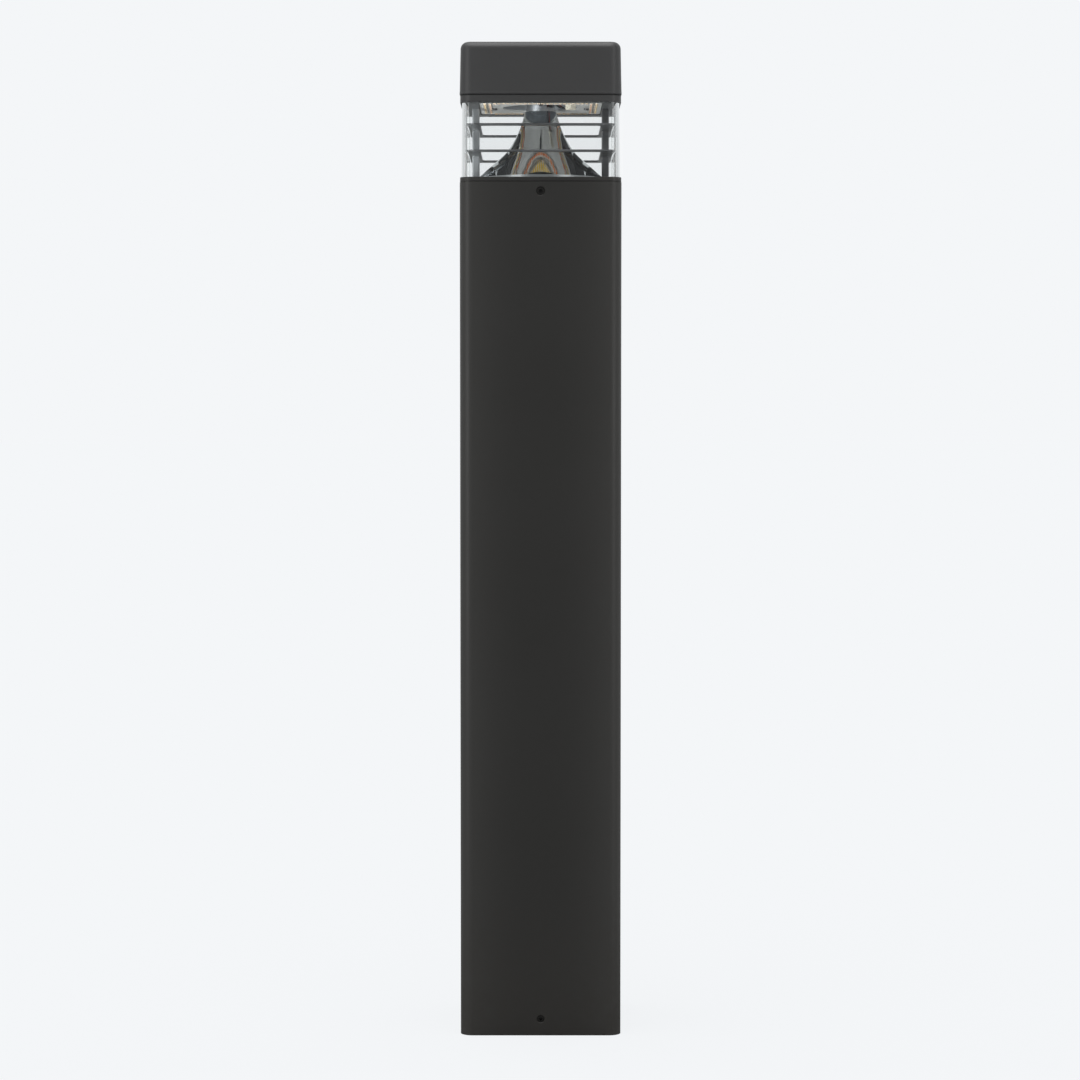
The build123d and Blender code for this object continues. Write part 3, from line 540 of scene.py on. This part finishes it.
# ---- LED board and thermal pad ----
# A square aluminium-core board in white solder mask with a round opening, on a grey silicone pad.
# The copper under the mask shows as a faintly darker square track between the rows.
track_middle, track_half_width = 0.0574, 0.0009
solder_mask, tree = start_material("white_solder_mask")
skin = grain_of(tree, (700.0, 40.0, 260.0))
place = node(tree, "ShaderNodeTexCoord").outputs["Object"]
away = node(tree, "ShaderNodeVectorMath", {0: place}, operation="ABSOLUTE")
sides = node(tree, "ShaderNodeSeparateXYZ", {0: away.outputs[0]})
ring = node(tree, "ShaderNodeMath", {0: sides.outputs["X"], 1: sides.outputs["Y"]}, operation="MAXIMUM")
track = node(tree, "ShaderNodeMath", {
    0: ring.outputs[0], 1: track_middle, 2: track_half_width}, operation="COMPARE")
paint = mix_colour(tree, skin.outputs["Patch"], (0.76, 0.75, 0.72), (0.81, 0.805, 0.78))
tint = mix_colour(tree, track.outputs[0], paint, (0.50, 0.48, 0.42))
gloss = node(tree, "ShaderNodeMapRange", {"Value": skin.outputs["Patch"], "To Min": 0.28, "To Max": 0.36})
relief = relief_of(tree, skin.outputs["Height"], 0.00003, 0.6)
close_material(tree, Base_Color=tint, Roughness=gloss.outputs[0], Normal=relief)
dress(solder_mask, "led_board")
silicone = finish_with_grain(
    "filled_silicone", (0.30, 0.32, 0.35), (0.36, 0.38, 0.41), (0.6, 0.7), 0.0001)
dress(silicone, "thermal_pad")


# ---- LEDs ----
# Surface-mount packages in two rows along each side of the board: a cream moulded cup filled with
# orange or yellow phosphor gel. The gel is given a weak glow of its own, so that its colour carries in
# the mirror though the lamp is unlit. A placing machine sets them, so each is turned by a hair.
def make_row_tree():
    """Sets the package it is given in a row along each of four sides, a little unevenly."""
    tree = bpy.data.node_groups.new("row_on_four_sides", "GeometryNodeTree")
    wanted = (
        ("Geometry", "NodeSocketGeometry"), ("Count", "NodeSocketInt"), ("Pitch", "NodeSocketFloat"),
        ("Distance", "NodeSocketFloat"), ("Level", "NodeSocketFloat"), ("Unevenness", "NodeSocketFloat"),
        ("Seed", "NodeSocketInt"), ("Body", "NodeSocketMaterial"), ("Filling", "NodeSocketMaterial"))
    for name, kind in wanted:
        tree.interface.new_socket(name, in_out="INPUT", socket_type=kind)
    tree.interface.new_socket("Geometry", in_out="OUTPUT", socket_type="NodeSocketGeometry")
    given = node(tree, "NodeGroupInput").outputs
    gaps = node(tree, "ShaderNodeMath", {0: given["Count"], 1: 1.0}, operation="SUBTRACT")
    length = node(tree, "ShaderNodeMath", {0: gaps.outputs[0], 1: given["Pitch"]}, operation="MULTIPLY")
    start_x = node(tree, "ShaderNodeMath", {0: length.outputs[0], 1: -0.5}, operation="MULTIPLY")
    out = node(tree, "ShaderNodeMath", {0: given["Distance"], 1: -1.0}, operation="MULTIPLY")
    start = node(tree, "ShaderNodeCombineXYZ", {
        "X": start_x.outputs[0], "Y": out.outputs[0], "Z": given["Level"]})
    step = node(tree, "ShaderNodeCombineXYZ", {"X": given["Pitch"]})
    line = node(tree, "GeometryNodeMeshLine", {
        "Count": given["Count"], "Start Location": start.outputs[0], "Offset": step.outputs[0]})
    back = node(tree, "ShaderNodeMath", {0: given["Unevenness"], 1: -1.0}, operation="MULTIPLY")
    jitter = node(tree, "FunctionNodeRandomValue", {"Seed": given["Seed"]})
    tree.links.new(back.outputs[0], jitter.inputs[2])
    tree.links.new(given["Unevenness"], jitter.inputs[3])
    hair = node(tree, "ShaderNodeCombineXYZ", {"Z": jitter.outputs[1]})
    row = node(tree, "GeometryNodeInstanceOnPoints", {
        "Points": line.outputs[0], "Instance": given["Geometry"], "Rotation": hair.outputs[0]})
    centres = node(tree, "GeometryNodeMeshLine", {"Count": 4, "Offset": (0.0, 0.0, 0.0)})
    side = node(tree, "GeometryNodeInputIndex")
    quarter = node(tree, "ShaderNodeMath", {0: side.outputs[0], 1: math.pi / 2}, operation="MULTIPLY")
    turn = node(tree, "ShaderNodeCombineXYZ", {"Z": quarter.outputs[0]})
    square = node(tree, "GeometryNodeInstanceOnPoints", {
        "Points": centres.outputs[0], "Instance": row.outputs[0], "Rotation": turn.outputs[0]})
    real = node(tree, "GeometryNodeRealizeInstances", {"Geometry": square.outputs[0]})
    body = node(tree, "GeometryNodeSetMaterial", {"Geometry": real.outputs[0], "Material": given["Body"]})
    filled = node(tree, "GeometryNodeInputNamedAttribute", {"Name": "filling"}, data_type="BOOLEAN")
    both = node(tree, "GeometryNodeSetMaterial", {
        "Geometry": body.outputs[0], "Selection": filled.outputs[0], "Material": given["Filling"]})
    node(tree, "NodeGroupOutput", {"Geometry": both.outputs[0]})
    return tree


row_tree = make_row_tree()


def set_in_rows(name, package, **values):
    """The package repeated by the row tree, as one plain mesh."""
    piece = bpy.data.objects.new(name, package)
    scene.collection.objects.link(piece)
    rows = piece.modifiers.new("rows", "NODES")
    rows.node_group = row_tree
    for item in row_tree.interface.items_tree:
        if item.in_out == "INPUT" and item.name in values:
            rows[item.identifier] = values[item.name]
    bpy.context.view_layer.update()
    ready = piece.evaluated_get(bpy.context.evaluated_depsgraph_get())
    made = bpy.data.meshes.new_from_object(ready)
    piece.modifiers.clear()
    piece.data = made
    return piece


def box_ring(long, short, cut, z):
    """Eight corners of a rectangle with its corners cut, going round anticlockwise."""
    a, b = long / 2, short / 2
    corners = (
        (a, -b + cut), (a, b - cut), (a - cut, b), (cut - a, b),
        (-a, b - cut), (-a, cut - b), (cut - a, -b), (a - cut, -b))
    return [(x, y, z) for x, y in corners]


def stacked(name, rings, first_filled):
    """A closed mesh through rings of eight corners; faces from one ring on are marked as filling."""
    places = [corner for ring in rings for corner in ring]
    faces = [tuple(range(8))]
    for level in range(len(rings) - 1):
        here, beyond = level * 8, (level + 1) * 8
        for corner in range(8):
            after = (corner + 1) % 8
            faces.append((here + corner, beyond + corner, beyond + after, here + after))
    faces.append(tuple(range(len(places) - 1, len(places) - 9, -1)))
    mesh = bpy.data.meshes.new(name)
    mesh.from_pydata(places, [], faces)
    marks = mesh.attributes.new("filling", "BOOLEAN", "FACE")
    marks.data.foreach_set("value", [index > 8 * first_filled for index in range(len(faces))])
    return mesh


small_moulding_scales = (2500.0, 200.0, 900.0)
led_long, led_short, led_high, led_pitch, led_count = 3.5 * MM, 2.8 * MM, 0.9 * MM, 4.7 * MM, 22
cup_wall, cup_deep = 0.22 * MM, 0.18 * MM
# The filling is domed inside a shallow cup, so that it shows at a low angle.
led_rings = [
    box_ring(led_long, led_short, 0.15 * MM, 0.0),
    box_ring(led_long, led_short, 0.15 * MM, 0.06 * MM - led_high),
    box_ring(led_long - 0.1 * MM, led_short - 0.1 * MM, 0.15 * MM, -led_high),
    box_ring(led_long - 2 * cup_wall, led_short - 2 * cup_wall, 0.5 * MM, -led_high),
    box_ring(led_long - 2.8 * cup_wall, led_short - 2.8 * cup_wall, 0.6 * MM, cup_deep - led_high),
    box_ring(0.62 * led_long, 0.62 * led_short, 0.5 * MM, 0.12 * MM - led_high),
    box_ring(0.30 * led_long, 0.30 * led_short, 0.25 * MM, 0.04 * MM - led_high),
]
cream_moulding = finish_with_grain(
    "cream_package", (0.60, 0.50, 0.38), (0.68, 0.58, 0.46), (0.35, 0.45), 0.00002,
    scales=small_moulding_scales)
gel_glow = 0.10
gels = {
    "leds_warm": ("led_orange", (0.92, 0.17, 0.01), (0.98, 0.22, 0.02)),
    "leds_cool": ("led_yellow", (0.90, 0.55, 0.005), (0.95, 0.62, 0.01)),
}
led_groups = []
for seed, (row_name, (slot, deep, light)) in enumerate(gels.items()):
    gel = finish_with_grain(slot + "_gel", deep, light, (0.16, 0.26), 0.00002, scales=(1800.0, 220.0, 600.0))
    phosphor = gel.node_tree.nodes["Principled BSDF"]
    phosphor.inputs["Emission Color"].default_value = (*light, 1)
    phosphor.inputs["Emission Strength"].default_value = gel_glow
    row_middle = -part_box(row_name)[0].y - led_short / 2
    leds = set_in_rows(
        row_name + "_packages", stacked(row_name + "_package", led_rings, 4), Count=led_count,
        Pitch=led_pitch, Distance=row_middle, Level=board_low, Unevenness=math.radians(1.2), Seed=seed,
        Body=cream_moulding, Filling=gel)
    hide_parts(row_name)
    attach(leds, "head")
    led_groups.append(leds)

# ---- Resistors ----
# Small black chips between the two rows of LEDs, one for every second pair, with tinned ends.
chip_long, chip_short, chip_high = 1.3 * MM, 1.0 * MM, 0.5 * MM
chip_rings = [
    box_ring(chip_long, chip_short, 0.05 * MM, 0.0),
    box_ring(chip_long, chip_short, 0.05 * MM, 0.05 * MM - chip_high),
    box_ring(chip_long - 0.1 * MM, chip_short - 0.1 * MM, 0.08 * MM, -chip_high),
    box_ring(0.62 * chip_long, 0.86 * chip_short, 0.05 * MM, -chip_high),
]
tinned = finish_with_grain(
    "tinned_ends", (0.46, 0.46, 0.45), (0.58, 0.58, 0.56), (0.25, 0.4), 0.00002,
    scales=small_moulding_scales, metallic=1.0)
black_moulding = finish_with_grain(
    "module_moulding", (0.02, 0.02, 0.02), (0.03, 0.03, 0.03), (0.4, 0.5), 0.00005)
chips = set_in_rows(
    "resistor_chips", stacked("resistor_chip", chip_rings, 3), Count=led_count // 2, Pitch=2 * led_pitch,
    Distance=-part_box("board_resistors")[0].y - chip_short / 2, Level=board_low,
    Unevenness=math.radians(2.5), Seed=7, Body=tinned, Filling=black_moulding)
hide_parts("board_resistors")
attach(chips, "head")

# ---- Board screws, connector and leads ----
# Four dark pan screws hold the board. A cream nylon socket takes a red and a black silicone lead that
# run up into the pocket and down through the stem.
dress(dark_anodised, "board_screws")
nylon = finish_with_grain(
    "cream_nylon", (0.60, 0.56, 0.46), (0.68, 0.64, 0.54), (0.35, 0.45), 0.00005)
dress(nylon, "board_connector")
red_sleeve = finish_with_grain(
    "red_insulation", (0.34, 0.018, 0.012), (0.42, 0.025, 0.016), (0.3, 0.4), 0.00003)
dress(red_sleeve, "led_lead_red")
black_sleeve = finish_with_grain(
    "black_insulation", (0.012, 0.012, 0.012), (0.02, 0.02, 0.02), (0.3, 0.4), 0.00003)
dress(black_sleeve, "led_lead_black", "supply_lead_line")
white_sleeve = finish_with_grain(
    "white_insulation", (0.72, 0.72, 0.70), (0.78, 0.78, 0.76), (0.3, 0.4), 0.00003)
dress(white_sleeve, "supply_lead_neutral")

# ---- Cap ----
# A hollow die casting in graphite coat, a shade greyer than the shaft, drawn down on its gasket by
# four zinc screws from inside the lens.
# This coat too is painted paler towards the corners, as painted sheen.
graphite_coat = powder_coat("graphite_powder_coat", (0.0310, 0.0310, 0.0310), (0.036, 0.036, 0.0365))
dress(graphite_coat, "top_cap")
dress(zinc_plate, "cap_screws")

# ---- Gear bracket ----
# Folded galvanised sheet with a spangle, hung under the collar's deck by four screws. The earthing
# screw is green.
galvanised, tree = start_material("galvanised_sheet")
place = node(tree, "ShaderNodeTexCoord").outputs["Object"]
spangle = node(tree, "ShaderNodeTexVoronoi", {"Vector": place, "Scale": 160.0, "Randomness": 1.0})
flake = node(tree, "ShaderNodeSeparateColor", {0: spangle.outputs["Color"]})
tint = mix_colour(tree, flake.outputs[0], (0.40, 0.42, 0.43), (0.62, 0.64, 0.65))
gloss = node(tree, "ShaderNodeMapRange", {"Value": flake.outputs[1], "To Min": 0.28, "To Max": 0.5})
skin = grain_of(tree, (700.0, 30.0, 300.0))
relief = relief_of(tree, skin.outputs["Height"], 0.00002, 0.5)
close_material(tree, Base_Color=tint, Metallic=1.0, Roughness=gloss.outputs[0], Normal=relief)
dress(galvanised, "driver_bracket")
dress(zinc_plate, "bracket_screws", "driver_screws")
green_zinc = finish_with_grain(
    "green_zinc", (0.02, 0.22, 0.06), (0.03, 0.28, 0.08), (0.3, 0.4), 0.00003, metallic=0.5)
dress(green_zinc, "ground_screw")

# ---- Driver ----
# A constant-current supply in an off-white folded case with a blank silver rating plate on its front;
# the plate carries no lettering here.
case_low, case_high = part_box("driver")
driver_case, tree = start_material("driver_case")
skin = grain_of(tree, (900.0, 18.0, 300.0))
place = node(tree, "ShaderNodeTexCoord").outputs["Object"]
plate_middle = ((case_low.x + case_high.x) / 2, case_low.y, (case_low.z + case_high.z) / 2)
plate_half = (0.015, 0.004, 0.040)
offset = node(tree, "ShaderNodeVectorMath", {0: place, 1: plate_middle}, operation="SUBTRACT")
scaled = node(tree, "ShaderNodeVectorMath", {0: offset.outputs[0], 1: plate_half}, operation="DIVIDE")
away = node(tree, "ShaderNodeVectorMath", {0: scaled.outputs[0]}, operation="ABSOLUTE")
sides = node(tree, "ShaderNodeSeparateXYZ", {0: away.outputs[0]})
widest = node(tree, "ShaderNodeMath", {0: sides.outputs["X"], 1: sides.outputs["Y"]}, operation="MAXIMUM")
widest = node(tree, "ShaderNodeMath", {0: widest.outputs[0], 1: sides.outputs["Z"]}, operation="MAXIMUM")
on_plate = node(tree, "ShaderNodeMath", {0: widest.outputs[0], 1: 1.0}, operation="LESS_THAN")
paint = mix_colour(tree, skin.outputs["Patch"], (0.60, 0.60, 0.58), (0.68, 0.68, 0.66))
tint = mix_colour(tree, on_plate.outputs[0], paint, (0.40, 0.41, 0.42))
gloss = node(tree, "ShaderNodeMapRange", {"Value": skin.outputs["Patch"], "To Min": 0.33, "To Max": 0.45})
relief = relief_of(tree, skin.outputs["Height"], 0.00005, 0.5)
close_material(tree, Base_Color=tint, Metallic=on_plate.outputs[0], Roughness=gloss.outputs[0], Normal=relief)
dress(driver_case, "driver")

# ---- Terminal block and surge protector ----
# A grey moulded three-pole block with brass clamping screws, and a potted black module on the back
# of the bracket.
grey_moulding = finish_with_grain(
    "terminal_moulding", (0.26, 0.27, 0.28), (0.32, 0.33, 0.34), (0.4, 0.5), 0.00005)
dress(grey_moulding, "terminal_block")
brass = finish_with_grain(
    "brass", (0.55, 0.40, 0.15), (0.65, 0.50, 0.22), (0.25, 0.35), 0.00003, metallic=1.0)
dress(brass, "terminal_screws")
dress(black_moulding, "surge_protector")

# ---- Lights on the bollard ----
# Two tall soft boxes in front, the left one stronger, and one overhead. They light the bollard alone, so
# that the floor stays even. A low card in front, also a stand-in, lights only the lamp parts listed, and
# neither the cone nor the lens.
lit = bpy.data.collections.new("bollard")
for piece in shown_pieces():
    lit.objects.link(piece)
lamp = bpy.data.collections.new("lamp")
lamp_parts = (
    "louver_ring_lower", "louver_ring_upper", "side_post_left", "side_post_right", "post_bolts",
    "stem_tube", "stem_screws", "led_board", "thermal_pad", "board_screws", "board_connector")
for piece in [parts[name] for name in lamp_parts] + [chips] + led_groups:
    lamp.objects.link(piece)


def soft_box(name, place, aim, size, power, receivers):
    light = bpy.data.lights.new(name, "AREA")
    light.shape = "RECTANGLE"
    light.size, light.size_y = size
    light.energy = power
    light.specular_factor = 0.35
    box = bpy.data.objects.new(name, light)
    box.location = place
    box.rotation_mode = "QUATERNION"
    box.rotation_quaternion = (Vector(aim) - Vector(place)).to_track_quat("-Z", "Y")
    box.visible_camera = False
    box.light_linking.receiver_collection = receivers
    scene.collection.objects.link(box)


for side, power in ((-1, 12.0), (1, 8.5)):
    soft_box(f"side_box_{side:+d}", (side * 1.9, -1.9, 1.15), (0, 0, 0.75), (0.8, 1.9), power, lit)
soft_box("top_box", (0, -0.5, 2.4), (0, 0, 1.0), (1.6, 1.6), 10.0, lit)
soft_box("low_card", (-0.9, -1.1, 0.45), (0, 0, 0.98), (1.0, 0.6), 30.0, lamp)
